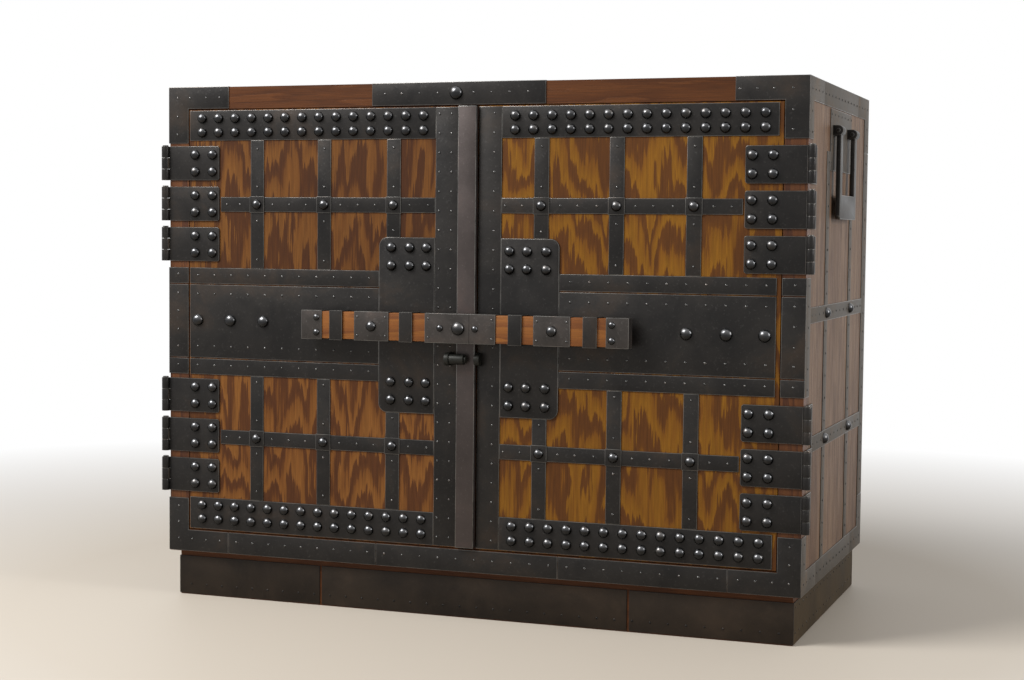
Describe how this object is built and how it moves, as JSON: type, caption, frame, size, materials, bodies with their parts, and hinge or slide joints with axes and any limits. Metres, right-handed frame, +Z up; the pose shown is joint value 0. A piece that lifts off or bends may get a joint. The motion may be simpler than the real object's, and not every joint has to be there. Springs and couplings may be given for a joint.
{
  "type": "funa tansu ship's chest",
  "caption": "Japanese iron-bound ship's chest with two strap-hinged doors behind a divided lock bar, a shelf inside, a plinth, and swinging carrying handles.",
  "frame": {"origin": "centre of the chest's bounding box in plan, at floor level", "axes": "+X to the chest's right as seen from its front, +Y to its back, +Z up; the doors face -Y"},
  "size_m": [1.1852, 0.6146, 0.9123],
  "materials": {
    "iron": "dark lacquered wrought iron, worn brown on its edges",
    "frame_wood": "reddish brown lacquer",
    "side_wood": "worn satin, pinkish brown",
    "panel_wood": "polished, strongly figured zelkova",
    "bar_wood": "polished orange brown",
    "inner_wood": "bare planed paulownia"
  },
  "bodies": {
    "carcase": {"back_board": "inner_wood", "base_rail_plate": "iron", "bottom_board": "inner_wood", "bottom_rail": "frame_wood", "left_frame_irons": "iron", "left_handle_plate": "iron", "left_hinge_leaf_1": "iron", "left_hinge_leaf_2": "iron", "left_hinge_leaf_3": "iron", "left_hinge_leaf_4": "iron", "left_hinge_leaf_5": "iron", "left_hinge_leaf_6": "iron", "left_side_board": "side_wood", "left_side_straps": "iron", "left_stile": "frame_wood", "left_stile_iron": "iron", "plinth_frame": "frame_wood", "plinth_iron": "iron", "right_frame_irons": "iron", "right_handle_plate": "iron", "right_hinge_leaf_1": "iron", "right_hinge_leaf_2": "iron", "right_hinge_leaf_3": "iron", "right_hinge_leaf_4": "iron", "right_hinge_leaf_5": "iron", "right_hinge_leaf_6": "iron", "right_side_board": "side_wood", "right_side_straps": "iron", "right_stile": "frame_wood", "right_stile_iron": "iron", "shelf": "inner_wood", "top_board": "frame_wood", "top_rail": "frame_wood", "top_rail_plate": "iron"},
    "left_door": {"left_bar": "bar_wood", "left_door_board": "panel_wood", "left_door_straps": "iron", "left_hinge_strap_1": "iron", "left_hinge_strap_2": "iron", "left_hinge_strap_3": "iron", "left_hinge_strap_4": "iron", "left_hinge_strap_5": "iron", "left_hinge_strap_6": "iron", "left_lock_plate": "iron", "left_middle_plate": "iron", "meeting_strip": "iron"},
    "right_door": {"right_bar": "bar_wood", "right_door_board": "panel_wood", "right_door_straps": "iron", "right_hinge_strap_1": "iron", "right_hinge_strap_2": "iron", "right_hinge_strap_3": "iron", "right_hinge_strap_4": "iron", "right_hinge_strap_5": "iron", "right_hinge_strap_6": "iron", "right_lock_plate": "iron", "right_middle_plate": "iron"},
    "left_handle": {"left_handle_bail": "iron"},
    "right_handle": {"right_handle_bail": "iron"}
  },
  "joints": [
    {"name": "left_door_hinge", "type": "hinge", "parent": "carcase", "child": "left_door", "pos_m": [-0.5803, -0.26535, 0.4965], "axis": [0, 0, -1], "range_deg": [0, 180]},
    {"name": "right_door_hinge", "type": "hinge", "parent": "carcase", "child": "right_door", "pos_m": [0.5803, -0.26535, 0.4965], "axis": [0, 0, 1], "range_deg": [0, 180]},
    {"name": "left_handle_pivot", "type": "hinge", "parent": "carcase", "child": "left_handle", "pos_m": [-0.5841, 0.02215, 0.8355], "axis": [0, 1, 0], "range_deg": [0, 180]},
    {"name": "right_handle_pivot", "type": "hinge", "parent": "carcase", "child": "right_handle", "pos_m": [0.5841, 0.02215, 0.8355], "axis": [0, -1, 0], "range_deg": [0, 180]}
  ]
}
